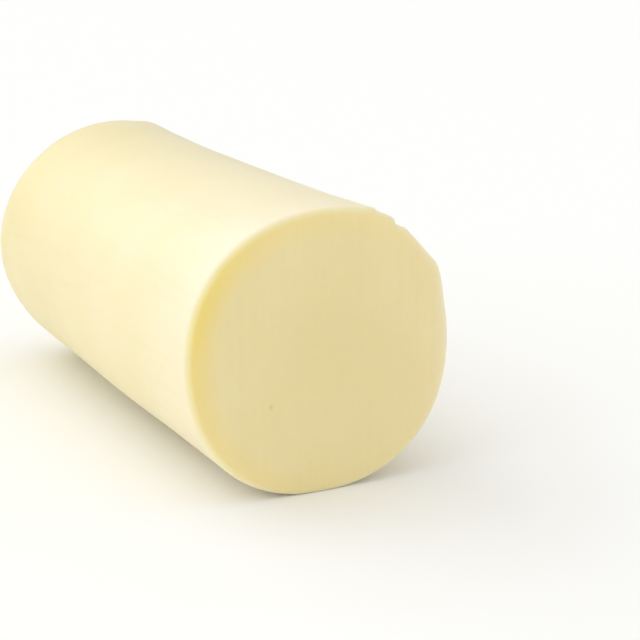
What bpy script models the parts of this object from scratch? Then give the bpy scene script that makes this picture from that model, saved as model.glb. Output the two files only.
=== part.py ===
"""A provolone log, cut across at one end and lying on its side.

The log lies along Y. Its cut face looks towards -Y and its round, uncut end
towards +Y. It stands on Z = 0, on the narrow flat that its own weight gives it,
and the origin is in the middle of that underside.
"""

import math

import bpy

# Driving dimensions, in metres and degrees
RADIUS = 0.057  # mean radius of the log
LENGTH = 0.248  # from the cut face to the tip of the round end
CUT_EDGE = 0.0028  # rounding of the rim, between the skin and the cut face
END_ROUND = 0.4 * RADIUS  # rounding between the side and the round end
DOME_ANGLE = 8.0  # slope at which that rounding runs into the domed end
SETTLE = 0.0011  # depth of the flat underside at the cut

# How the section leaves a circle: (lobes, height, direction of one lobe). Directions
# run anticlockwise from +X, as seen on the cut face.
CUT_WAVES = ((2, 0.00025, -67.0), (3, 0.00023, 57.0), (4, 0.00079, -40.0))
END_WAVES = ((2, 0.00052, -17.0), (3, 0.00033, -43.0), (4, 0.00022, 5.0))

# Soft ridges on the skin: (direction, height, spread, distance from the cut, reach)
RIDGES = (
    (28.0, 0.0016, 6.0, 0.0, 0.023),  # lower ridge at the rim, on the +X side
    (67.0, 0.0012, 6.0, 0.0, 0.023),  # upper ridge at the rim
    (65.0, 0.00136, 22.0, 0.219, 0.026),  # high shoulder of the round end
    (72.0, 0.00106, 3.1, 0.219, 0.011),  # soft corner along that shoulder
    (226.0, 0.0007, 16.0, 0.113, 0.027),  # sag low on the -X side
    (206.0, -0.00085, 14.0, 0.225, 0.014),  # shallow dent where that side meets the round end
)

# How finely the solid is cut into facets
STEPS_ROUND = 96
STEPS_SIDE = 26
STEPS_END = 10
STEPS_DOME = 3
STEPS_EDGE = 4
FACE_RINGS = 2


def clear_scene():
    """Start from an empty file."""
    for old in list(bpy.data.objects):
        bpy.data.objects.remove(old, do_unlink=True)


def make_material(name, color, roughness):
    """A Principled material with one colour."""
    material = bpy.data.materials.new(name)
    material.use_nodes = True
    shader = material.node_tree.nodes["Principled BSDF"]
    shader.inputs["Base Color"].default_value = (*color, 1.0)
    shader.inputs["Roughness"].default_value = roughness
    shader.inputs["Metallic"].default_value = 0.0
    return material


def arc(centre, radius, start, end, steps):
    """Points (radius, height) on an arc, without its first point; angles in radians."""
    points = []
    for i in range(1, steps + 1):
        angle = start + (end - start) * i / steps
        points.append((centre[0] + radius * math.cos(angle), centre[1] + radius * math.sin(angle)))
    return points


def log_profile():
    """Half of the log's outline, from the tip of the round end down to the cut face."""
    slope = math.radians(DOME_ANGLE)
    inner = RADIUS - END_ROUND
    dome_radius = inner / math.sin(slope) + END_ROUND
    dome_centre = (0.0, LENGTH - dome_radius)
    end_start = LENGTH - dome_radius + (dome_radius - END_ROUND) * math.cos(slope)
    quarter = math.pi / 2

    profile = [(0.0, LENGTH)]
    profile += arc(dome_centre, dome_radius, quarter, quarter - slope, STEPS_DOME)
    profile += arc((inner, end_start), END_ROUND, quarter - slope, 0.0, STEPS_END)
    for i in range(1, STEPS_SIDE + 1):
        # stations crowd towards the cut, where the ridges are
        left = 1.0 - i / STEPS_SIDE
        profile.append((RADIUS, CUT_EDGE + (end_start - CUT_EDGE) * left**1.3))
    profile += arc((RADIUS - CUT_EDGE, CUT_EDGE), CUT_EDGE, 0.0, -quarter, STEPS_EDGE)
    for i in range(1, FACE_RINGS + 1):
        profile.append(((RADIUS - CUT_EDGE) * (1.0 - i / FACE_RINGS), 0.0))
    return profile


def turn(name, profile, steps):
    """Turn a profile round Z with a Screw modifier, and return it as a plain mesh."""
    mesh = bpy.data.meshes.new(name + "_profile")
    edges = [(i, i + 1) for i in range(len(profile) - 1)]
    mesh.from_pydata([(r, 0.0, h) for r, h in profile], edges, [])
    guide = bpy.data.objects.new(name + "_profile", mesh)
    bpy.context.scene.collection.objects.link(guide)

    screw = guide.modifiers.new("turn", "SCREW")
    screw.steps = steps
    screw.render_steps = steps
    screw.use_merge_vertices = True
    screw.merge_threshold = 0.00001

    depsgraph = bpy.context.evaluated_depsgraph_get()
    turned = bpy.data.meshes.new_from_object(guide.evaluated_get(depsgraph))
    turned.name = name
    bpy.data.objects.remove(guide)
    return turned


def waves(table, angle):
    """Sum of the lobes in a table, at an angle in radians."""
    total = 0.0
    for lobes, height, direction in table:
        total += height * math.cos(lobes * (angle - math.radians(direction)))
    return total


def ridge(angle, along, direction, height, spread, place, reach):
    """One soft ridge, with a bell shape both round the log and along it."""
    turned = math.degrees(angle) - direction
    away = (turned + 180.0) % 360.0 - 180.0
    return height * math.exp(-0.5 * (away / spread) ** 2 - 0.5 * ((along - place) / reach) ** 2)


def skin_radius(angle, along):
    """Radius of the log in one direction, at a distance from the cut."""
    share = along / LENGTH
    radius = RADIUS + (1.0 - share) * waves(CUT_WAVES, angle) + share * waves(END_WAVES, angle)
    for values in RIDGES:
        radius += ridge(angle, along, *values)
    return radius


def lay_down(mesh):
    """Lay the turned log along Y, give it its uneven section and set it on its flat."""
    floor = SETTLE - skin_radius(-math.pi / 2, 0.0)
    for vertex in mesh.vertices:
        x, z, along = vertex.co.x, -vertex.co.y, vertex.co.z
        angle = math.atan2(z, x)
        stretch = skin_radius(angle, along) / RADIUS
        vertex.co = (x * stretch, along - LENGTH / 2, max(z * stretch, floor))

    middle = (min(v.co.x for v in mesh.vertices) + max(v.co.x for v in mesh.vertices)) / 2
    for vertex in mesh.vertices:
        vertex.co.x -= middle
        vertex.co.z -= floor


def build_log(collection):
    """The whole cheese: one solid, because it is one piece."""
    mesh = turn("cheese_log", log_profile(), STEPS_ROUND)
    lay_down(mesh)
    mesh.materials.append(make_material("provolone", (0.94, 0.86, 0.60), 0.45))
    mesh.shade_smooth()
    mesh.set_sharp_from_angle(angle=math.radians(40.0))
    log = bpy.data.objects.new("cheese_log", mesh)
    collection.objects.link(log)
    return log


def main():
    clear_scene()
    collection = bpy.data.collections.new("provolone_log")
    bpy.context.scene.collection.children.link(collection)
    build_log(collection)


main()
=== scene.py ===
# %% [markdown]
# # A log of provolone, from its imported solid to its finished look
#
# The piece is half of a long deli log of provolone, cut across at one end and lying on
# its side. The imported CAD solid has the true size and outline, but its facets are coarse
# and its one colour is plain. This lesson builds a finer body over it in mesh code, then
# gives that body the two faces of the real cheese: the smooth, pale outside that the
# mould leaves, and the deeper, moist paste that the knife opens.
#
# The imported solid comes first, because every place in the scene is taken from it.

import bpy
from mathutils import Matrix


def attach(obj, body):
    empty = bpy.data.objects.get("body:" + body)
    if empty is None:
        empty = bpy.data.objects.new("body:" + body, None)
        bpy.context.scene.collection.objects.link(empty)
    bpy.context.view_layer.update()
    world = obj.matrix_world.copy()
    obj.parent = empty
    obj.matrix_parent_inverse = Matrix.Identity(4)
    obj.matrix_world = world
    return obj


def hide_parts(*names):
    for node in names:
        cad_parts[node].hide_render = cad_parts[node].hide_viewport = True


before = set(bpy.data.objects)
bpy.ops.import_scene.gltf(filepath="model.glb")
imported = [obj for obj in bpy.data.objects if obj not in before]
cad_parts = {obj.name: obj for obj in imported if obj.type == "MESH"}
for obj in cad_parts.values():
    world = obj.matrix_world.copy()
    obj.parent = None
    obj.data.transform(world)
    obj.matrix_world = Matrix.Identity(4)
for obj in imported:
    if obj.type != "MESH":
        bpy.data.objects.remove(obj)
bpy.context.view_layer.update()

# %% [markdown]
# The other modules are Blender's own and Python's. Sizes below are written in
# millimetres and turned to metres by one constant, because Blender works in metres
# and a cheese is easier to picture in millimetres.

# %% Modules and the millimetre
import math

import bpy
from mathutils import Matrix, Vector, noise

MM = 0.001

# %% [markdown]
# Colours are sRGB hex values, the way a swatch book gives them. Blender's shaders mix
# light, so they need linear values, and one function does that for every colour here.

# %% Turn a hex colour to linear light


def linear(hex_colour):
    """Linear (r, g, b, 1) of an sRGB hex colour such as "FFF4D6"."""
    channels = []
    for start in (0, 2, 4):
        share = int(hex_colour[start : start + 2], 16) / 255.0
        if share <= 0.04045:
            channels.append(share / 12.92)
        else:
            channels.append(((share + 0.055) / 1.055) ** 2.4)
    return (*channels, 1.0)


print("white turns to", linear("FFFFFF"))

# %% [markdown]
# ## The shape of the log
#
# A provolone log is curd that was stretched hot, pressed into a tube and cooled, so it is
# a cylinder that never quite stayed round. The CAD describes it with a mean radius, a few
# waves round the section, and soft ridges. The same numbers are repeated here, so that
# the finer body has the solid's own outline before any relief is added.

# %% The log's driving sizes, as in the CAD
RADIUS = 57.0 * MM
LENGTH = 248.0 * MM
CUT_EDGE = 2.8 * MM
END_ROUND = 0.4 * RADIUS
DOME_ANGLE = math.radians(8.0)
SETTLE = 1.1 * MM

# (lobes round the section, height, direction of one lobe in degrees), directions
# anticlockwise from +X for someone who faces the cut
CUT_WAVES = ((2, 0.25 * MM, -67.0), (3, 0.23 * MM, 57.0), (4, 0.79 * MM, -40.0))
END_WAVES = ((2, 0.52 * MM, -17.0), (3, 0.33 * MM, -43.0), (4, 0.22 * MM, 5.0))

# (direction, height, spread in degrees, distance from the cut, reach)
RIDGES = (
    (28.0, 1.6 * MM, 6.0, 0.0, 23.0 * MM),
    (67.0, 1.2 * MM, 6.0, 0.0, 23.0 * MM),
    (65.0, 1.36 * MM, 22.0, 219.0 * MM, 26.0 * MM),
    (72.0, 1.06 * MM, 3.1, 219.0 * MM, 11.0 * MM),
    (226.0, 0.7 * MM, 16.0, 113.0 * MM, 27.0 * MM),
    (206.0, -0.85 * MM, 14.0, 225.0 * MM, 14.0 * MM),
)

# %% [markdown]
# One function gives the radius in every direction at every distance from the cut. The
# section changes evenly from the cut to the round end, and each ridge is a bell shape
# round the log and along it. A ridge of negative height is a shallow dent.

# %% Radius of the log in one direction


def bell(away, spread):
    """1 in the middle, falling to 0 over a few spreads."""
    return math.exp(-0.5 * (away / spread) ** 2)


def turn_between(angle, direction):
    """Degrees from a direction in degrees to an angle in radians, between -180 and 180."""
    return (math.degrees(angle) - direction + 180.0) % 360.0 - 180.0


def waves(table, angle):
    """Sum of the lobes in a table."""
    return sum(height * math.cos(lobes * (angle - math.radians(at))) for lobes, height, at in table)


def skin_radius(angle, along):
    """Radius of the log's skin, at a distance along it from the cut."""
    share = along / LENGTH
    radius = RADIUS + (1.0 - share) * waves(CUT_WAVES, angle) + share * waves(END_WAVES, angle)
    for direction, height, spread, place, reach in RIDGES:
        radius += height * bell(turn_between(angle, direction), spread) * bell(along - place, reach)
    return radius


print("radius at the cut, right and top, in mm:")
print([round(skin_radius(math.radians(a), 0.0) / MM, 2) for a in (0.0, 90.0)])

# %% [markdown]
# Half of the outline, from the tip of the round end to the middle of the cut, is a list
# of stations. Each one has its distance from the axis, its distance from the cut, and the
# tilt of the surface there: a quarter turn on the tip, none on the side, and minus a
# quarter turn on the cut. The tilt says which way to push the surface for a dent, and
# where the skin ends and the paste begins. Stations stand close together only where
# there is something small to show: at the rim, and round one small eye in the cut.

# %% Stations along the outline
STEP_DOME = 3.0 * MM
STEP_SHOULDER = 1.8 * MM
STEP_SIDE = 4.0 * MM
STEP_NEAR_RIM = 0.6 * MM
STEP_CORNER = 0.35 * MM
STEP_CUT = 1.3 * MM
STEP_EYE = 0.2 * MM
NEAR_RIM = 8.0 * MM

EYE_FROM_AXIS = 28.0 * MM  # a small eye in the paste, left by a bubble in the curd
EYE_DIRECTION = 219.3
EYE_MARGIN = 2.2 * MM


def evenly(start, end, step):
    """Stations from start to just before end, no further apart than step."""
    count = max(1, math.ceil(abs(end - start) / step))
    return [start + (end - start) * i / count for i in range(count)]


def arc(centre, radius, start, end, step):
    """Stations on an arc round centre, (distance from the axis, from the cut, tilt)."""
    points = []
    for tilt in evenly(start, end, step / radius):
        outwards, along = radius * math.cos(tilt), radius * math.sin(tilt)
        points.append((centre[0] + outwards, centre[1] + along, tilt))
    return points


def log_outline():
    """All stations, from the tip of the round end to the middle of the cut."""
    quarter = math.pi / 2
    inner = RADIUS - END_ROUND
    dome_radius = inner / math.sin(DOME_ANGLE) + END_ROUND
    dome_middle = LENGTH - dome_radius
    end_start = dome_middle + (dome_radius - END_ROUND) * math.cos(DOME_ANGLE)
    eye_start = EYE_FROM_AXIS + EYE_MARGIN
    eye_end = EYE_FROM_AXIS - EYE_MARGIN

    points = arc((0.0, dome_middle), dome_radius, quarter, quarter - DOME_ANGLE, STEP_DOME)
    points += arc((inner, end_start), END_ROUND, quarter - DOME_ANGLE, 0.0, STEP_SHOULDER)
    for along in evenly(end_start, NEAR_RIM, STEP_SIDE) + evenly(NEAR_RIM, CUT_EDGE, STEP_NEAR_RIM):
        points.append((RADIUS, along, 0.0))
    points += arc((RADIUS - CUT_EDGE, CUT_EDGE), CUT_EDGE, 0.0, -quarter, STEP_CORNER)
    rings = evenly(RADIUS - CUT_EDGE, RADIUS - NEAR_RIM, STEP_NEAR_RIM)
    rings += evenly(RADIUS - NEAR_RIM, eye_start, STEP_CUT) + evenly(eye_start, eye_end, STEP_EYE)
    rings += evenly(eye_end, 0.0, STEP_CUT)
    points += [(radius, 0.0, -quarter) for radius in rings]
    points.append((0.0, 0.0, -quarter))
    return points


outline = log_outline()
print(len(outline), "stations along the outline")

# %% [markdown]
# Round the log the columns are a degree apart, which is 1 mm on the skin. They close up
# where the rim is nicked, where two faint seams run along the skin, and round the eye.

# %% Directions round the log
STEP_ROUND = 1.0  # degrees
EYE_SECTOR = 4.0  # degrees to either side of the eye
# (first direction, last direction, step), in degrees
FINE_SECTORS = (
    (48.0, 70.0, 0.25),
    (160.0, 184.0, 0.5),
    (EYE_DIRECTION - EYE_SECTOR, EYE_DIRECTION + EYE_SECTOR, 0.25),
)


def directions_round():
    """Angles in radians, anticlockwise from +X, closer together in the fine sectors."""
    degrees = []
    at = 0.0
    for first, last, step in FINE_SECTORS:
        degrees += evenly(at, first, STEP_ROUND) + evenly(first, last, step)
        at = last
    degrees += evenly(at, 360.0, STEP_ROUND)
    return [math.radians(d) for d in degrees]


directions = directions_round()
print(len(directions), "columns round the log")

# %% [markdown]
# ## Relief that the tools and the mould left
#
# Skin that set against a mould isn't a perfect tube: broad, shallow hollows catch the
# light. They come from smooth noise, a repeatable pattern of hills and valleys, sampled
# in space so that no seam shows. A seed picks another part of the same endless pattern.
# Every hollow goes inwards, so none pushes the body past the solid that it stands for.

# %% Hollows in the skin
HOLLOW_WIDTH = 45.0 * MM
HOLLOW_DEPTH = 0.16 * MM
DIMPLE_WIDTH = 13.0 * MM
DIMPLE_DEPTH = 0.05 * MM
HOLLOW_SEED = 1.7
DIMPLE_SEED = 5.2


def hills(point, width, seed):
    """Smooth noise from 0 to 1, with hills about one width across."""
    x, y, z = (distance / width for distance in point)
    place = Vector((x + seed, y - seed, z + 3.0 * seed))
    return min(max(0.5 + 0.5 * noise.noise(place), 0.0), 1.0)


def hollow_depth(point):
    """How far the hollows lie below the solid's surface, in metres."""
    hollow = HOLLOW_DEPTH * hills(point, HOLLOW_WIDTH, HOLLOW_SEED)
    dimple = DIMPLE_DEPTH * hills(point, DIMPLE_WIDTH, DIMPLE_SEED)
    return hollow + dimple


print("hollow at one place, in mm:", round(hollow_depth((50.0 * MM, 0.0, 60.0 * MM)) / MM, 3))

# %% [markdown]
# Two faint seams run along the side, where folds of the wrapping pressed the warm skin.
# They drift round the log as they go, and they come and go like a dotted line, so their
# depth is scaled with hills of noise too.

# %% Seams along the skin
# (direction and distance from the cut where it starts, the same where it ends)
SEAMS = ((170.0, 222.0 * MM, 161.5, 118.0 * MM), (182.5, 178.0 * MM, 172.0, 106.0 * MM))
SEAM_DEPTH = 0.07 * MM
SEAM_WIDTH = 0.8 * MM
SEAM_FADE = 14.0 * MM
SEAM_DOTS = 6.0 * MM
DOT_GAIN = 2.0  # makes dots with gaps between them out of the hills of noise
DOT_FLOOR = 0.3


def smooth(share):
    """0 below 0, 1 above 1, and a soft S between."""
    share = min(max(share, 0.0), 1.0)
    return share * share * (3.0 - 2.0 * share)


def seam(angle, along):
    """How strongly a seam shows at one place on the skin, from 0 to 1."""
    strongest = 0.0
    for first, start, last, end in SEAMS:
        direction = first + (last - first) * (start - along) / (start - end)
        across = math.radians(turn_between(angle, direction)) * RADIUS
        fade = smooth((start - along) / SEAM_FADE) * smooth((along - end) / SEAM_FADE)
        dots = hills((0.0, along, 0.0), SEAM_DOTS, first)
        line = bell(across, SEAM_WIDTH) * fade
        strongest = max(strongest, line * smooth(DOT_GAIN * dots - DOT_FLOOR))
    return strongest


print("seam at its middle:", round(seam(math.radians(167.0), 170.0 * MM), 2))

# %% [markdown]
# The knife came down through the log, so the cut has faint upright drag marks, some broad
# and some narrow. Towards its edge the cut leans back a little, where the blade pulled the
# paste. The curd also holds one eye, a bubble about a millimetre wide that the knife
# opened. Its bowl is a shallow bell shape, a little taller than wide.

# %% Drag marks, the drooping edge and the eye in the cut
DROOP_DEPTH = 0.14 * MM  # how far the cut leans back at its edge
DROOP_WIDTH = 3.5 * MM
# (width of the marks, length, depth)
DRAGS = ((16.0 * MM, 150.0 * MM, 0.07 * MM), (5.0 * MM, 80.0 * MM, 0.03 * MM))
DRAG_SEED = 7.3
EYE_DEPTH = 0.22 * MM
EYE_SPREADS = (0.45 * MM, 0.7 * MM)
EYE_PLACE = (
    EYE_FROM_AXIS * math.cos(math.radians(EYE_DIRECTION)),
    EYE_FROM_AXIS * math.sin(math.radians(EYE_DIRECTION)),
)


def eye(across, up):
    """1 in the middle of the eye, falling to 0 at its lip."""
    return bell(across - EYE_PLACE[0], EYE_SPREADS[0]) * bell(up - EYE_PLACE[1], EYE_SPREADS[1])


def cut_depth(across, up):
    """How far the paste lies behind the cut's plane, from its place beside the axis."""
    from_edge = min(max((RADIUS - CUT_EDGE - math.hypot(across, up)) / DROOP_WIDTH, 0.0), 1.0)
    depth = EYE_DEPTH * eye(across, up) + DROOP_DEPTH * (1.0 - from_edge) ** 2
    for width, length, height in DRAGS:
        place = Vector((across / width, DRAG_SEED, up / length))
        depth += height * max(0.5 + 0.5 * noise.noise(place), 0.0)
    return depth


print("depth of the eye in mm:", round(cut_depth(*EYE_PLACE) / MM, 2))

# %% [markdown]
# A knife that comes out through a soft skin tears it a little. Two nicks on the upper
# right of the rim show it: each has one steep side, where the skin broke, and one side
# that runs out gently. Beside and between them, thin lips were pulled outwards, and just
# past them the rim was pressed flat. No lip reaches past the solid's box.

# %% Nicks in the rim
# (steep side, bottom, far side, depth, reach along the log), directions in degrees
NICKS = (
    (67.1, 65.5, 61.3, 1.15 * MM, 7.0 * MM),
    (57.4, 55.7, 51.3, 1.85 * MM, 6.0 * MM),
)
# (direction, height, spread, reach along the log); below 0 the rim was pressed flat
LIPS = (
    (31.0, 0.45 * MM, 2.0, 6.0 * MM),
    (50.4, 0.22 * MM, 0.9, 4.0 * MM),
    (58.6, 0.42 * MM, 1.4, 4.0 * MM),
    (68.4, 0.28 * MM, 2.0, 4.0 * MM),
    (73.0, -0.35 * MM, 2.2, 5.0 * MM),
)
NICK_END = 1.5  # a nick has run out at this many reaches from the cut


def torn(angle, along, nick):
    """1 at the bottom of a nick, falling to 0 on both sides and along the log."""
    steep, bottom, far, _, reach = nick
    degrees = math.degrees(angle) % 360.0
    fallen = smooth((steep - degrees) / (steep - bottom)) * smooth((degrees - far) / (bottom - far))
    return fallen * smooth(NICK_END - along / reach)


def rim_change(angle, along):
    """How far the rim lies outside (or, below zero, inside) the plain skin."""
    change = -sum(nick[3] * torn(angle, along, nick) for nick in NICKS)
    for direction, height, spread, reach in LIPS:
        change += height * bell(turn_between(angle, direction), spread) * bell(along, reach)
    return change


upper_right = [math.radians(eighths / 8) for eighths in range(8 * 70)]
print("deepest nick in mm:", round(min(rim_change(a, 0.0) for a in upper_right) / MM, 2))

# %% [markdown]
# ## Lay the log down
#
# The section's radius is measured from the log's axis. The CAD stands the log on the flat
# that its weight gives it, with the box's middle at X = 0, so the axis has to be found
# again: its height from the depth of the flat, and its place sideways from the widest
# points on either side.

# %% Where the axis runs
GAP = 0.03 * MM  # keeps the round body inside the box of the faceted solid

axis_height = skin_radius(-math.pi / 2, 0.0) - SETTLE


def side_reach(sign):
    """The furthest that the skin reaches to one side of the axis, over the whole log."""
    reach = 0.0
    for station in outline:
        for angle in directions:
            stretch = skin_radius(angle, station[1]) / RADIUS
            reach = max(reach, sign * station[0] * stretch * math.cos(angle))
    return reach


axis_side = (side_reach(-1.0) - side_reach(1.0)) / 2
print("axis in mm:", round(axis_side / MM, 3), round(axis_height / MM, 3))

# %% [markdown]
# Soft cheese doesn't meet a table with a crease. Near the flat the surface is blended
# with a parabola, from half a millimetre above the table to the table itself.

# %% One point of the body
SOFT_CONTACT = 0.5 * MM
CUT_BEGINS = 0.15  # shares of the quarter turn over the rim, for the change of relief
CUT_WHOLE = 0.9


def settled(height):
    """Height above the table of a point that would be at this height if it weren't soft."""
    if height > SOFT_CONTACT:
        return height
    if height < -SOFT_CONTACT:
        return 0.0
    return (height + SOFT_CONTACT) ** 2 / (4.0 * SOFT_CONTACT)


def body_point(station, angle):
    """Place of one vertex in the row frame, from its station and its direction."""
    radius, along, tilt = station
    near_rim = smooth((radius - (RADIUS - NEAR_RIM)) / (NEAR_RIM - CUT_EDGE))
    radius *= (skin_radius(angle, along) + near_rim * rim_change(angle, along)) / RADIUS
    cut = smooth((-tilt / (math.pi / 2) - CUT_BEGINS) / (CUT_WHOLE - CUT_BEGINS))
    at = (radius * math.cos(angle), along, radius * math.sin(angle))
    skin_depth = hollow_depth(at) + SEAM_DEPTH * seam(angle, along)
    depth = GAP + (1.0 - cut) * skin_depth + cut * cut_depth(at[0], at[2])
    radius = max(radius - depth * math.cos(tilt), 0.0)
    along -= depth * math.sin(tilt)
    return (
        axis_side + radius * math.cos(angle),
        along - LENGTH / 2,
        settled(axis_height + radius * math.sin(angle)),
    )


near_the_rim = body_point((RADIUS, 10.0 * MM, 0.0), math.pi / 2)
print("top of the log near the rim, in mm:", [round(v / MM, 2) for v in near_the_rim])

# %% [markdown]
# Every ring of vertices is joined to the next with four-sided faces, and the two ends are
# closed with triangles round a single vertex. That makes one closed body, with no seam
# and nothing loose. The corners of each face run anticlockwise as seen from outside, so
# that every face looks outwards.

# %% Build the log's mesh


def ring_faces(first, second, count):
    """Four-sided faces between two rings, given the number of each ring's first vertex."""
    faces = []
    for i in range(count):
        after = (i + 1) % count
        faces.append((first + i, first + after, second + after, second + i))
    return faces


def at_every_vertex(value_of):
    """What a function of station and direction gives at each vertex, ring after ring."""
    values = [value_of(outline[0], 0.0)]
    for station in outline[1:-1]:
        values += [value_of(station, angle) for angle in directions]
    values.append(value_of(outline[-1], 0.0))
    return values


def build_log():
    """The whole cheese as one closed mesh object."""
    count = len(directions)
    points = at_every_vertex(body_point)
    faces = [(0, 1 + (i + 1) % count, 1 + i) for i in range(count)]
    for ring in range(len(outline) - 3):
        faces += ring_faces(1 + ring * count, 1 + (ring + 1) * count, count)
    last = len(points) - 1
    start = last - count
    faces += [(start + i, start + (i + 1) % count, last) for i in range(count)]

    mesh = bpy.data.meshes.new("provolone_log")
    mesh.from_pydata(points, [], faces)
    mesh.shade_smooth()
    mesh.validate()
    log = bpy.data.objects.new("provolone_log", mesh)
    bpy.context.scene.collection.objects.link(log)
    return log


log = build_log()
log.data.calc_loop_triangles()
print(len(log.data.vertices), "vertices,", len(log.data.loop_triangles), "triangles")

# %% [markdown]
# ## Marks that tell the material where it is
#
# A material can't measure distances from the rim by itself, so each vertex is given a few numbers.
# The first is its share of paste. On most of the rim the skin gives way to paste over the rounded
# edge. On the right, where the edge is thin, light shines through it, and that light is painted:
# the pale of the skin is painted two or three millimetres further in, as a painted glow. The line
# between them wavers by a fraction of a millimetre, as a real rim does.

# %% Where the skin ends and the paste begins
SKIN_ENDS = -3.5 * MM  # distances in from the edge of the flat cut
PASTE_WHOLE = 0.5 * MM
# light through the thin right edge, painted as skin pale further in
SHINE_DIRECTION = 5.0
SHINE_SPREAD = 24.0
SHINE_REACH = 2.2 * MM
WAVER = 0.5 * MM
WAVER_WIDTH = 7.0 * MM
WAVER_SEED = 2.9
TORN_REACH = 2.5 * MM  # a nick bares the paste this much further out


def inward(station):
    """Distance in from the edge of the flat cut, along the surface; below 0 outside it."""
    radius, along, tilt = station
    if radius <= RADIUS - CUT_EDGE and along <= 0.0:
        return RADIUS - CUT_EDGE - radius
    return -CUT_EDGE * (math.pi / 2 + min(tilt, 0.0)) - max(along - CUT_EDGE, 0.0)


def wavered(station, angle):
    """The same distance, with the small wavering of a real rim."""
    at = (RADIUS * math.cos(angle), 0.0, RADIUS * math.sin(angle))
    return inward(station) + WAVER * (hills(at, WAVER_WIDTH, WAVER_SEED) - 0.5)


def paste_share(station, angle):
    """0 on the skin, 1 on the cut and in a nick, and a soft change over the rim; on the right it is
    held down by painted light through the edge.
    """
    bared = max(torn(angle, station[1], nick) for nick in NICKS)
    distance = wavered(station, angle) + TORN_REACH * bared
    # painted light: on the right the skin's pale is painted further in
    shine_here = bell(turn_between(angle, SHINE_DIRECTION), SHINE_SPREAD)
    painted_shine = shine_here * math.exp(-max(distance, 0.0) / SHINE_REACH)
    return smooth((distance - SKIN_ENDS) / (PASTE_WHOLE - SKIN_ENDS)) * (1.0 - painted_shine)


edge_of_cut = (RADIUS - CUT_EDGE, 0.0, -math.pi / 2)
print("paste on the cut's left edge:", round(paste_share(edge_of_cut, math.pi), 2))

# %% [markdown]
# Under the rim, the paste has a yellower band, six or seven millimetres wide on the upper left. It
# is partly the paste's own deeper yellow near the rind and partly painted light: a painted glow of
# the light that comes through the rim from the lit skin, so it is strongest on the upper left and
# fades round to the right. The heart of the log is a shade deeper. Outside, the skin is painted
# palest on the upper left of the rim: a painted highlight, where the lights' sheen falls. The top
# of the log and its round end are painted a shade greyer, as painted shade.

# %% Band and its painted glow, heart, painted highlight and painted shade
# (direction, spread, share) of the band and its painted glow
BAND_AND_GLOW_PARTS = ((155.0, 20.0, 0.42), (160.0, 60.0, 0.55))
BAND_WHOLE = 1.5 * MM
BAND_END = 11.5 * MM
HEART_PLACE = (5.0 * MM, 0.0)  # across and up from the axis
HEART_SPREAD = 21.0 * MM
# where the painted highlight lies: the upper left of the rim, reaching back along the skin
HIGHLIGHT_REACH = 14.0 * MM
HIGHLIGHT_DIRECTION = 128.0
HIGHLIGHT_SPREAD = 28.0
# where the painted shade lies: along the top and over the round end
TOP_SHADE_DIRECTION = 62.0
TOP_SHADE_SPREAD = 17.0
END_SHADE_FROM = 221.0 * MM  # distances from the cut
END_SHADE_WHOLE = 232.0 * MM
TOP_SHADE_WHOLE = 120.0 * MM
TOP_SHADE_AT_CUT = 0.4


def rim_band_and_glow(station, angle):
    """Strength of the yellow band under the rim: partly the paste's own yellow, partly painted glow
    of light through the rim.
    """
    strength = sum(
        share * bell(turn_between(angle, at), spread) for at, spread, share in BAND_AND_GLOW_PARTS
    )
    return strength * smooth((BAND_END - wavered(station, angle)) / (BAND_END - BAND_WHOLE))


def heart(station, angle):
    """1 in the heart of the log, falling to 0 towards the rim."""
    across = station[0] * math.cos(angle) - HEART_PLACE[0]
    return bell(math.hypot(across, station[0] * math.sin(angle) - HEART_PLACE[1]), HEART_SPREAD)


def painted_highlight(station, angle):
    """Strength of the painted highlight: 1 on the upper left of the rim, falling to 0 round it and
    back along the skin.
    """
    round_rim = bell(turn_between(angle, HIGHLIGHT_DIRECTION), HIGHLIGHT_SPREAD)
    return round_rim * bell(min(inward(station) + CUT_EDGE, 0.0), HIGHLIGHT_REACH)


def top_and_end_shade(station, angle):
    """Strength of the painted shade: most along the top and over the round end, less by the cut."""
    from_cut = TOP_SHADE_AT_CUT + (1.0 - TOP_SHADE_AT_CUT) * min(station[1] / TOP_SHADE_WHOLE, 1.0)
    top = from_cut * bell(turn_between(angle, TOP_SHADE_DIRECTION), TOP_SHADE_SPREAD)
    end = smooth((station[1] - END_SHADE_FROM) / (END_SHADE_WHOLE - END_SHADE_FROM))
    return 1.0 - (1.0 - top) * (1.0 - end)


print("band 3 mm in, upper left:", round(rim_band_and_glow((RADIUS - 5.8 * MM, 0.0, -math.pi / 2), 2.8), 2))

# %% [markdown]
# Each of these becomes an attribute, a named number on every vertex, in the order in
# which the vertices were made.

# %% Store the marks


def mark(name, value_of):
    """Store one number per vertex, from its station and its direction."""
    values = at_every_vertex(value_of)
    marks = log.data.attributes.new(name, "FLOAT", "POINT")
    marks.data.foreach_set("value", values)
    print(name, "runs from", round(min(values), 4), "to", round(max(values), 4))


def eye_mark(station, angle):
    """The eye, on the cut only."""
    if station[1] > 0.0:
        return 0.0
    return eye(station[0] * math.cos(angle), station[0] * math.sin(angle))


mark("paste", paste_share)
mark("rim_band_and_glow", rim_band_and_glow)
mark("heart", heart)
mark("painted_highlight", painted_highlight)
mark("top_and_end_shade", top_and_end_shade)
mark("eye", eye_mark)
mark("seam", lambda station, angle: seam(angle, station[1]))

# %% [markdown]
# ## The finish
#
# Shader nodes are added by one small function, which sets a node's own settings, then
# gives each input a plain value or a link. The attributes are read back first.

# %% Add one node


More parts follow.
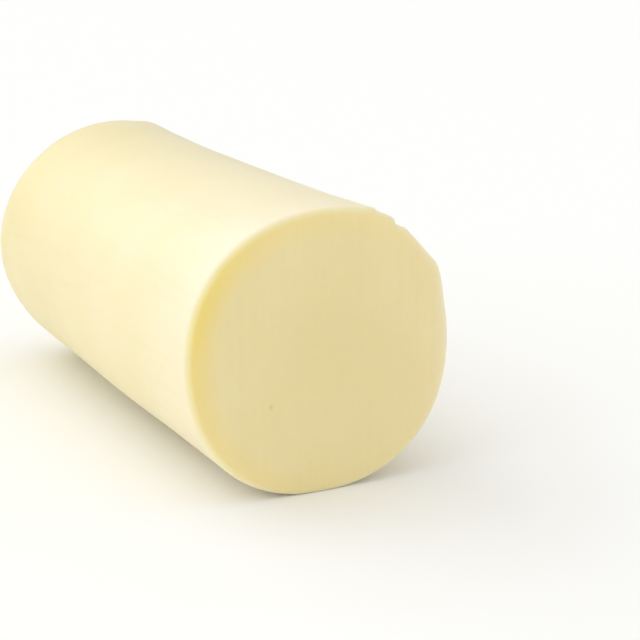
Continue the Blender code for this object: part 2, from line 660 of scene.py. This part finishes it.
def add_node(tree, kind, settings=None, inputs=None):
    """A new shader node, with its settings and its inputs set or linked."""
    node = tree.nodes.new("ShaderNode" + kind)
    for name, value in (settings or {}).items():
        setattr(node, name, value)
    for name, value in (inputs or {}).items():
        if isinstance(value, bpy.types.NodeSocket):
            tree.links.new(value, node.inputs[name])
        else:
            node.inputs[name].default_value = value
    return node


# A Mix node has one set of sockets for each type; these are the ones for colours.
MIX_A = 6
MIX_B = 7
MIX_COLOUR = 2

provolone = bpy.data.materials.new("provolone")
provolone.use_nodes = True
tree = provolone.node_tree
tree.nodes.clear()
space = add_node(tree, "TexCoord").outputs["Object"]
marks = {
    name: add_node(tree, "Attribute", {"attribute_name": name}).outputs["Fac"]
    for name in ("paste", "rim_band_and_glow", "heart", "painted_highlight", "top_and_end_shade", "eye", "seam")
}
print("material", provolone.name, "reads", list(marks))

# %% [markdown]
# The outside of provolone is milk protein and fat that cooled against a smooth mould. It gives the
# eye a pale lemon cream with a satin gloss. The cream deepens evenly from the cut towards the round
# end, and wanders a little on the way, because fat and moisture aren't spread evenly: the warmer
# patches are 30 to 50 mm across.

# %% Cream of the skin
SKIN_AT_CUT = linear("F5E9C4")
SKIN_AT_END = linear("EADDA6")
# paler cream, painted on as a highlight
SKIN_HIGHLIGHT = linear("F7ECCE")
PATCH_WIDTH = 40.0 * MM
PATCH_SHARE = 0.35

patches = add_node(
    tree,
    "TexNoise",
    inputs={"Vector": space, "Scale": 1.0 / PATCH_WIDTH, "Detail": 2.0, "Roughness": 0.4},
)
places = add_node(tree, "SeparateXYZ", inputs={"Vector": space})
cut_to_end = add_node(
    tree,
    "MapRange",
    {"clamp": False},
    {"Value": places.outputs["Y"], "From Min": -LENGTH / 2, "From Max": LENGTH / 2},
)
patch_lift = add_node(
    tree,
    "MapRange",
    {"clamp": False},
    {"Value": patches.outputs["Fac"], "To Min": -PATCH_SHARE, "To Max": PATCH_SHARE},
)
skin_share = add_node(
    tree,
    "Math",
    {"operation": "ADD", "use_clamp": True},
    {0: cut_to_end.outputs["Result"], 1: patch_lift.outputs["Result"]},
)
graded_skin = add_node(
    tree,
    "Mix",
    {"data_type": "RGBA"},
    {"Factor": skin_share.outputs["Value"], MIX_A: SKIN_AT_CUT, MIX_B: SKIN_AT_END},
)
# Painted highlight: the skin is painted paler on the upper left of the rim.
highlighted_skin = add_node(
    tree,
    "Mix",
    {"data_type": "RGBA"},
    {"Factor": marks["painted_highlight"], MIX_A: graded_skin.outputs[MIX_COLOUR], MIX_B: SKIN_HIGHLIGHT},
)
print("skin from", SKIN_AT_CUT[:3], "to", SKIN_AT_END[:3])

# %% [markdown]
# The top of the log and its round end are painted a shade greyer than the rest: this is painted
# shade, for the light that falls more dimly there. It is stronger in some patches than in others,
# so it follows the patches above.

# %% Painted shade on the top and the round end
SKIN_PAINTED_SHADE = linear("D9D6BA")
PAINTED_SHADE_LEAST = 0.42
PAINTED_SHADE_MOST = 0.66

painted_shade_cover = add_node(
    tree,
    "MapRange",
    inputs={"Value": patches.outputs["Fac"], "To Min": PAINTED_SHADE_LEAST, "To Max": PAINTED_SHADE_MOST},
)
painted_shade_share = add_node(
    tree, "Math", {"operation": "MULTIPLY"}, {0: marks["top_and_end_shade"], 1: painted_shade_cover.outputs["Result"]}
)
# Painted shade: the top and the round end are painted greyer.
shaded_skin = add_node(
    tree,
    "Mix",
    {"data_type": "RGBA"},
    {"Factor": painted_shade_share.outputs["Value"], MIX_A: highlighted_skin.outputs[MIX_COLOUR], MIX_B: SKIN_PAINTED_SHADE},
)
print("film colour", SKIN_PAINTED_SHADE[:3])

# %% [markdown]
# The tube that the curd was pressed through also left faint lines along the log, a few millimetres
# apart. Noise makes them when its space is squeezed across the log and stretched along it. The two
# seams are a touch deeper in colour.

# %% Lines along the skin
LINE_WIDTH = 3.5 * MM
LINE_LENGTH = 130.0 * MM
LINE_STRENGTH = 0.09
LINE_FROM = 0.45  # levels of the noise between which a line comes up
LINE_WHOLE = 0.75
SEAM_STRENGTH = 0.16
SKIN_IN_LINES = linear("E6D49C")

line_space = add_node(
    tree,
    "Mapping",
    inputs={"Vector": space, "Scale": (1.0 / LINE_WIDTH, 1.0 / LINE_LENGTH, 1.0 / LINE_WIDTH)},
)
lines = add_node(
    tree, "TexNoise", inputs={"Vector": line_space.outputs["Vector"], "Scale": 1.0, "Detail": 2.0}
)
line_share = add_node(
    tree,
    "MapRange",
    {"interpolation_type": "SMOOTHSTEP"},
    {
        "Value": lines.outputs["Fac"],
        "From Min": LINE_FROM,
        "From Max": LINE_WHOLE,
        "To Max": LINE_STRENGTH,
    },
)
seam_share = add_node(
    tree,
    "Math",
    {"operation": "MULTIPLY_ADD", "use_clamp": True},
    {0: marks["seam"], 1: SEAM_STRENGTH, 2: line_share.outputs["Result"]},
)
skin_colour = add_node(
    tree,
    "Mix",
    {"data_type": "RGBA"},
    {
        "Factor": seam_share.outputs["Value"],
        MIX_A: shaded_skin.outputs[MIX_COLOUR],
        MIX_B: SKIN_IN_LINES,
    },
)
print("lines are", round(LINE_WIDTH / MM, 1), "mm wide")

# %% [markdown]
# Inside, the paste is the same curd, freshly opened: moister, so that light goes deeper
# and comes back as a deeper butter beige. The stretched curd is close and nearly even.
# What shows is faint upright streaks where the knife smeared it, soft patches of fat,
# and the deeper heart.

# %% Butter beige of the paste
PASTE_LIGHT = linear("F6E6B3")
PASTE_DEEP = linear("F2E2AB")
PASTE_HEART = linear("EFDFA8")
STREAK_WIDTH = 2.5 * MM
STREAK_LENGTH = 60.0 * MM
PASTE_PATCH_WIDTH = 24.0 * MM
STREAK_SHARE = 0.5  # how much the streaks count beside the patches
DEEP_FROM = 0.45  # levels of both together, between which the paste turns deeper
DEEP_WHOLE = 1.05

paste_patches = add_node(
    tree,
    "TexNoise",
    inputs={"Vector": space, "Scale": 1.0 / PASTE_PATCH_WIDTH, "Detail": 4.0, "Roughness": 0.55},
)
streak_space = add_node(
    tree,
    "Mapping",
    inputs={
        "Vector": space,
        "Scale": (1.0 / STREAK_WIDTH, 1.0 / STREAK_LENGTH, 1.0 / STREAK_LENGTH),
    },
)
streaks = add_node(
    tree, "TexNoise", inputs={"Vector": streak_space.outputs["Vector"], "Scale": 1.0, "Detail": 3.0}
)
deep_share = add_node(
    tree,
    "Math",
    {"operation": "MULTIPLY_ADD"},
    {0: streaks.outputs["Fac"], 1: STREAK_SHARE, 2: paste_patches.outputs["Fac"]},
)
deep_spread = add_node(
    tree,
    "MapRange",
    {"interpolation_type": "SMOOTHSTEP"},
    {"Value": deep_share.outputs["Value"], "From Min": DEEP_FROM, "From Max": DEEP_WHOLE},
)
streaked_paste = add_node(
    tree,
    "Mix",
    {"data_type": "RGBA"},
    {"Factor": deep_spread.outputs["Result"], MIX_A: PASTE_LIGHT, MIX_B: PASTE_DEEP},
)
hearted_paste = add_node(
    tree,
    "Mix",
    {"data_type": "RGBA"},
    {"Factor": marks["heart"], MIX_A: streaked_paste.outputs[MIX_COLOUR], MIX_B: PASTE_HEART},
)
print("paste between", PASTE_LIGHT[:3], "and", PASTE_DEEP[:3])

# %% [markdown]
# A close look finds pinpricks in the paste, the smallest bubbles of the curd. A Voronoi texture
# scatters points through space, and the knife shows the few that lie within half a millimetre of
# the cut. Each is a small spot, a shade deeper than the paste. The eye, where a little butter oil
# gathered, is yellower, and it is painted darker as well: painted shade in its small pit.

# %% Pinpricks, band with its painted glow, and eye
PRICK_SPACING = 6.0 * MM
PRICK_RADIUS = 0.5 * MM
PRICK_STRENGTH = 0.35
EYE_STRENGTH = 0.9
PRICK_SHADE = linear("DCCB86")
# the band's colours: partly the paste's own yellow, partly painted glow of light through the rim
BAND_GOLD = linear("F9E187")
BAND_LEMON = linear("FBEC8E")
GOLD_FROM = 0.65  # shares of paste between which the band turns from lemon to gold
GOLD_WHOLE = 1.0
# the eye's own yellow, painted darker too: painted shade in its pit
EYE_OIL_AND_SHADE = linear("E6D684")

scatter = add_node(tree, "TexVoronoi", inputs={"Vector": space, "Scale": 1.0 / PRICK_SPACING})
pricks = add_node(
    tree,
    "MapRange",
    {"interpolation_type": "SMOOTHSTEP"},
    {
        "Value": scatter.outputs["Distance"],
        "From Min": 0.0,
        "From Max": PRICK_RADIUS / PRICK_SPACING,
        "To Min": 1.0,
        "To Max": 0.0,
    },
)
gold_share = add_node(
    tree,
    "MapRange",
    inputs={"Value": marks["paste"], "From Min": GOLD_FROM, "From Max": GOLD_WHOLE},
)
band_and_glow_colour = add_node(
    tree,
    "Mix",
    {"data_type": "RGBA"},
    {"Factor": gold_share.outputs["Result"], MIX_A: BAND_LEMON, MIX_B: BAND_GOLD},
)
# The band: partly the paste's own yellow, partly painted glow of light coming through the rim from
# the lit skin.
band_and_glow_paste = add_node(
    tree,
    "Mix",
    {"data_type": "RGBA"},
    {
        "Factor": marks["rim_band_and_glow"],
        MIX_A: hearted_paste.outputs[MIX_COLOUR],
        MIX_B: band_and_glow_colour.outputs[MIX_COLOUR],
    },
)
prick_share = add_node(
    tree, "Math", {"operation": "MULTIPLY"}, {0: pricks.outputs["Result"], 1: PRICK_STRENGTH}
)
pricked_paste = add_node(
    tree,
    "Mix",
    {"data_type": "RGBA"},
    {
        "Factor": prick_share.outputs["Value"],
        MIX_A: band_and_glow_paste.outputs[MIX_COLOUR],
        MIX_B: PRICK_SHADE,
    },
)
eye_share = add_node(tree, "Math", {"operation": "MULTIPLY"}, {0: marks["eye"], 1: EYE_STRENGTH})
paste_colour = add_node(
    tree,
    "Mix",
    {"data_type": "RGBA"},
    {
        "Factor": eye_share.outputs["Value"],
        MIX_A: pricked_paste.outputs[MIX_COLOUR],
        MIX_B: EYE_OIL_AND_SHADE,
    },
)
colour = add_node(
    tree,
    "Mix",
    {"data_type": "RGBA"},
    {
        "Factor": marks["paste"],
        MIX_A: skin_colour.outputs[MIX_COLOUR],
        MIX_B: paste_colour.outputs[MIX_COLOUR],
    },
)
print("pinpricks every", round(PRICK_SPACING / MM, 1), "mm in space")

# %% [markdown]
# Gloss first. The skin is satin, and drier in some patches than in others. The cut is a
# little duller, with moist patches where it shines a touch more.

# %% Gloss
# (roughness where it is moist, where it is dry)
SKIN_GLOSS = (0.38, 0.48)
PASTE_GLOSS = (0.44, 0.56)

skin_roughness = add_node(
    tree,
    "Mix",
    {"data_type": "FLOAT"},
    {"Factor": patches.outputs["Fac"], "A": SKIN_GLOSS[0], "B": SKIN_GLOSS[1]},
)
paste_roughness = add_node(
    tree,
    "Mix",
    {"data_type": "FLOAT"},
    {"Factor": paste_patches.outputs["Fac"], "A": PASTE_GLOSS[0], "B": PASTE_GLOSS[1]},
)
roughness = add_node(
    tree,
    "Mix",
    {"data_type": "FLOAT"},
    {
        "Factor": marks["paste"],
        "A": skin_roughness.outputs["Result"],
        "B": paste_roughness.outputs["Result"],
    },
)
print("roughness from", SKIN_GLOSS[0], "to", PASTE_GLOSS[1])

# %% [markdown]
# Then touch. Everywhere there is an orange peel and a fine grain of curd. The skin adds
# its drawn lines, and the paste the smear of the knife and the pits of the pinpricks. All
# these heights are hundredths of a millimetre, too small to model, so they are added up
# in real metres and go through one bump node.

# %% Fine relief
PEEL_WIDTH = 3.0 * MM
PEEL_HEIGHT = 0.02 * MM
GRAIN_WIDTH = 1.4 * MM
GRAIN_HEIGHT = 0.012 * MM
LINE_HEIGHT = 0.02 * MM
SMEAR_HEIGHT = 0.03 * MM
PRICK_DEPTH = 0.08 * MM

peel = add_node(
    tree, "TexNoise", inputs={"Vector": space, "Scale": 1.0 / PEEL_WIDTH, "Detail": 2.0}
)
grain = add_node(
    tree, "TexNoise", inputs={"Vector": space, "Scale": 1.0 / GRAIN_WIDTH, "Detail": 3.0}
)
peel_height = add_node(
    tree, "Math", {"operation": "MULTIPLY"}, {0: peel.outputs["Fac"], 1: PEEL_HEIGHT}
)
curd_height = add_node(
    tree,
    "Math",
    {"operation": "MULTIPLY_ADD"},
    {0: grain.outputs["Fac"], 1: GRAIN_HEIGHT, 2: peel_height.outputs["Value"]},
)
line_height = add_node(
    tree, "Math", {"operation": "MULTIPLY"}, {0: lines.outputs["Fac"], 1: -LINE_HEIGHT}
)
smear_height = add_node(
    tree, "Math", {"operation": "MULTIPLY"}, {0: streaks.outputs["Fac"], 1: SMEAR_HEIGHT}
)
paste_height = add_node(
    tree,
    "Math",
    {"operation": "MULTIPLY_ADD"},
    {0: pricks.outputs["Result"], 1: -PRICK_DEPTH, 2: smear_height.outputs["Value"]},
)
own_height = add_node(
    tree,
    "Mix",
    {"data_type": "FLOAT"},
    {
        "Factor": marks["paste"],
        "A": line_height.outputs["Value"],
        "B": paste_height.outputs["Value"],
    },
)
height = add_node(
    tree,
    "Math",
    {"operation": "ADD"},
    {0: curd_height.outputs["Value"], 1: own_height.outputs["Result"]},
)
bump = add_node(tree, "Bump", inputs={"Height": height.outputs["Value"], "Distance": 1.0})
print("deepest bump in mm:", round(PRICK_DEPTH / MM, 2))

# %% [markdown]
# Cheese is cloudy rather than opaque: light enters, wanders some millimetres among fat
# and protein, and comes out near by, red and yellow further than blue. That softens every
# shadow on it and warms its edges. The refractive index is that of milk fat.

# %% The provolone shader
MILK_FAT_IOR = 1.45
WANDER_SHARE = 0.6  # of the light goes in, and the rest comes back from the surface
WANDER = (1.0, 0.72, 0.36)  # how far red, green and blue go, beside each other
WANDER_DEPTH = 3.6 * MM

cheese = add_node(
    tree,
    "BsdfPrincipled",
    inputs={
        "Base Color": colour.outputs[MIX_COLOUR],
        "Roughness": roughness.outputs["Result"],
        "IOR": MILK_FAT_IOR,
        "Subsurface Weight": WANDER_SHARE,
        "Subsurface Radius": WANDER,
        "Subsurface Scale": WANDER_DEPTH,
        "Normal": bump.outputs["Normal"],
    },
)
add_node(tree, "OutputMaterial", inputs={"Surface": cheese.outputs["BSDF"]})
log.data.materials.append(provolone)
print("material", provolone.name, "has", len(tree.nodes), "nodes")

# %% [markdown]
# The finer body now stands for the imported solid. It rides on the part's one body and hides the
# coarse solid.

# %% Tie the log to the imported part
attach(log, "root")
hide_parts("cheese_log")

# %% [markdown]
# ## The studio
#
# Pale food is shot on a pale ground in soft, even light. The floor is a very wide sheet of matte
# white card, so that its far edge stays out of every view. It isn't part of the cheese.

# %% Floor
FLOOR_SIZE = 80.0  # metres
FLOOR_GAP = 0.05 * MM
CARD_WHITE = linear("F7F7F5")
CARD_ROUGHNESS = 0.9
CARD_SPECULAR = 0.1

card = bpy.data.materials.new("white_card")
card.use_nodes = True
card_shader = card.node_tree.nodes["Principled BSDF"]
card_shader.inputs["Base Color"].default_value = CARD_WHITE
card_shader.inputs["Roughness"].default_value = CARD_ROUGHNESS
card_shader.inputs["Specular IOR Level"].default_value = CARD_SPECULAR

half = FLOOR_SIZE / 2
corners = [(-half, -half), (half, -half), (half, half), (-half, half)]
floor_mesh = bpy.data.meshes.new("floor")
floor_mesh.from_pydata([(*corner, -FLOOR_GAP) for corner in corners], [], [(0, 1, 2, 3)])
floor_mesh.materials.append(card)
floor = bpy.data.objects.new("floor", floor_mesh)
bpy.context.scene.collection.objects.link(floor)
print("floor", FLOOR_SIZE, "m across")

# %% [markdown]
# Most of the light is the even glow of a white room, which the lens itself sees as full
# white. Five soft lights shape the log: from the left, from above, and, strongest, from
# behind on the left, where it skims the skin and gives it its pale sheen. Two weak ones
# lie low: one fills the underside on the left, and one on the right stands for a white
# card that throws light back through the rim. The cut faces away from most of them, so it
# stays a step darker. All are sun lamps with a wide angle, so that their light is as even
# over a wide floor as it is over the log.

# %% Light
ROOM_GLOW = 0.72
# (name, strength, where it comes from, angle across it in degrees)
LIGHTS = (
    ("left", 0.37, (-0.85, 0.0, 0.5), 55.0),
    ("above", 0.45, (-0.1, 0.0, 1.0), 60.0),
    ("behind_left", 0.76, (-0.4, 0.7, 0.55), 55.0),
    ("low_left", 0.1, (-0.95, -0.25, 0.08), 35.0),
    ("right", 0.2, (0.97, -0.05, 0.2), 40.0),
)

world = bpy.data.worlds.new("white_room")
world.use_nodes = True
backdrop = world.node_tree.nodes["Background"]
seen_by_lens = add_node(world.node_tree, "LightPath").outputs["Is Camera Ray"]
glow = add_node(world.node_tree, "MapRange", inputs={"Value": seen_by_lens, "To Min": ROOM_GLOW})
backdrop.inputs["Color"].default_value = linear("FFFFFF")
world.node_tree.links.new(glow.outputs["Result"], backdrop.inputs["Strength"])
bpy.context.scene.world = world

for name, strength, comes_from, across in LIGHTS:
    lamp_data = bpy.data.lights.new(name, "SUN")
    lamp_data.energy = strength
    lamp_data.angle = math.radians(across)
    lamp = bpy.data.objects.new(name, lamp_data)
    lamp.rotation_mode = "QUATERNION"
    lamp.rotation_quaternion = Vector(comes_from).to_track_quat("Z", "Y")
    bpy.context.scene.collection.objects.link(lamp)
bpy.context.scene.view_settings.view_transform = "Standard"
print("lights:", [name for name, *_ in LIGHTS])

# %% [markdown]
# ## The camera
#
# A long lens stands two thirds of a metre off, turned so that it looks along the left of
# the log and a little down on it. Its place is counted from the middle of the cut, and
# the lens aims a little past that point, which sets where the log sits in the picture.

# %% Camera
LOOK_ROUND = math.radians(26.76)
LOOK_DOWN = math.radians(15.42)
CAMERA_BACK = 663.1 * MM
CAMERA_RIGHT = -1.15 * MM
CAMERA_UP = 13.08 * MM
LENS = 98.44  # millimetres, as Blender takes it, like the sensor's width
SENSOR_WIDTH = 36.0

right = Vector((math.cos(LOOK_ROUND), -math.sin(LOOK_ROUND), 0.0))
forward = Vector(
    (
        math.sin(LOOK_ROUND) * math.cos(LOOK_DOWN),
        math.cos(LOOK_ROUND) * math.cos(LOOK_DOWN),
        -math.sin(LOOK_DOWN),
    )
)
up = right.cross(forward)
cut_middle = Vector((axis_side, -LENGTH / 2, axis_height))

camera_data = bpy.data.cameras.new("camera")
camera_data.lens = LENS
camera_data.sensor_width = SENSOR_WIDTH
camera = bpy.data.objects.new("camera", camera_data)
turn = Matrix((right, up, -forward)).transposed()
camera.matrix_world = Matrix.Translation(
    cut_middle + CAMERA_RIGHT * right + CAMERA_UP * up - CAMERA_BACK * forward
) @ turn.to_4x4()
bpy.context.scene.collection.objects.link(camera)
bpy.context.scene.camera = camera
print("camera at", [round(v, 3) for v in camera.matrix_world.translation])
